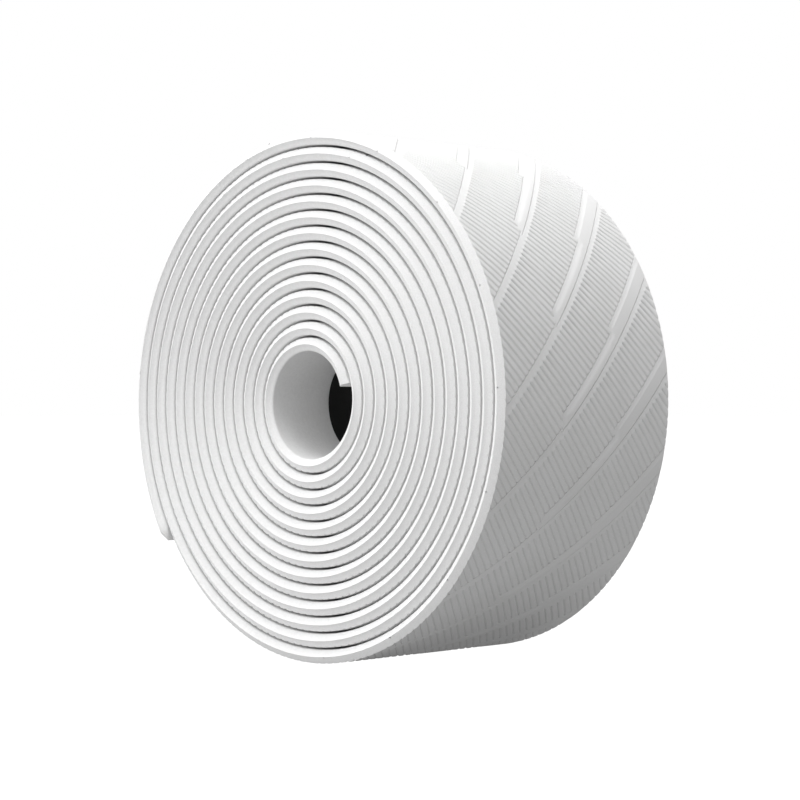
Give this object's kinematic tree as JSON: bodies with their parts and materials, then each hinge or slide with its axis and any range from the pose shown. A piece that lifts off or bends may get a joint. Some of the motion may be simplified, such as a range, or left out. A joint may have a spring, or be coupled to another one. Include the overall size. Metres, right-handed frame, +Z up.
{
  "type": "grip tape roll",
  "caption": "Roll of embossed racket grip tape with bevelled edges, wound on itself round an open centre, with a loose outer end that peels off.",
  "frame": {"origin": "on the roll's axis, halfway across the tape, at the centre of the open core", "axes": "+Y along the roll's axis from the front face to the back, +Z up, +X to the right seen from the front; the tape winds outwards from +X towards +Z"},
  "size_m": [0.065, 0.03, 0.0641],
  "materials": {
    "grip_surface": "matte, finely embossed polyurethane",
    "cushion_foam": "matte, smooth closed-cell foam",
    "adhesive_tape": "tacky, satin",
    "release_paper": "satin black coated paper"
  },
  "bodies": {
    "coil": {"coil_surface": "grip_surface", "coil_cushion": "cushion_foam", "coil_adhesive": "adhesive_tape", "coil_liner": "release_paper"},
    "tail_1": {"tail_1_surface": "grip_surface", "tail_1_cushion": "cushion_foam", "tail_1_adhesive": "adhesive_tape", "tail_1_liner": "release_paper"},
    "tail_2": {"tail_2_surface": "grip_surface", "tail_2_cushion": "cushion_foam", "tail_2_adhesive": "adhesive_tape", "tail_2_liner": "release_paper"},
    "tail_3": {"tail_3_surface": "grip_surface", "tail_3_cushion": "cushion_foam", "tail_3_adhesive": "adhesive_tape", "tail_3_liner": "release_paper"},
    "tail_4": {"tail_4_surface": "grip_surface", "tail_4_cushion": "cushion_foam", "tail_4_adhesive": "adhesive_tape", "tail_4_liner": "release_paper"},
    "tail_5": {"tail_5_surface": "grip_surface", "tail_5_cushion": "cushion_foam", "tail_5_adhesive": "adhesive_tape", "tail_5_liner": "release_paper"}
  },
  "joints": [
    {"name": "peel", "type": "hinge", "parent": "coil", "child": "tail_1", "pos_m": [-0.00024, 0, 0.03253], "axis": [0, 1, 0], "range_deg": [0, 24.1], "stiffness_Nm_per_rad": 0.0025},
    {"name": "peel_2", "type": "hinge", "parent": "tail_1", "child": "tail_2", "pos_m": [-0.01362, 0, 0.02967], "axis": [0, 1, 0], "range_deg": [0, 24.1], "stiffness_Nm_per_rad": 0.0025},
    {"name": "peel_3", "type": "hinge", "parent": "tail_2", "child": "tail_3", "pos_m": [-0.02467, 0, 0.0216], "axis": [0, 1, 0], "range_deg": [0, 24.1], "stiffness_Nm_per_rad": 0.0025},
    {"name": "peel_4", "type": "hinge", "parent": "tail_3", "child": "tail_4", "pos_m": [-0.03145, 0, 0.00972], "axis": [0, 1, 0], "range_deg": [0, 24.1], "stiffness_Nm_per_rad": 0.0025},
    {"name": "peel_5", "type": "hinge", "parent": "tail_4", "child": "tail_5", "pos_m": [-0.0328, 0, -0.00394], "axis": [0, 1, 0], "range_deg": [0, 24.1], "stiffness_Nm_per_rad": 0.0025}
  ],
  "couplings": [
    {"joint": "peel_2", "follows": "peel", "ratio": 1},
    {"joint": "peel_3", "follows": "peel", "ratio": 1},
    {"joint": "peel_4", "follows": "peel", "ratio": 1},
    {"joint": "peel_5", "follows": "peel", "ratio": 1}
  ]
}
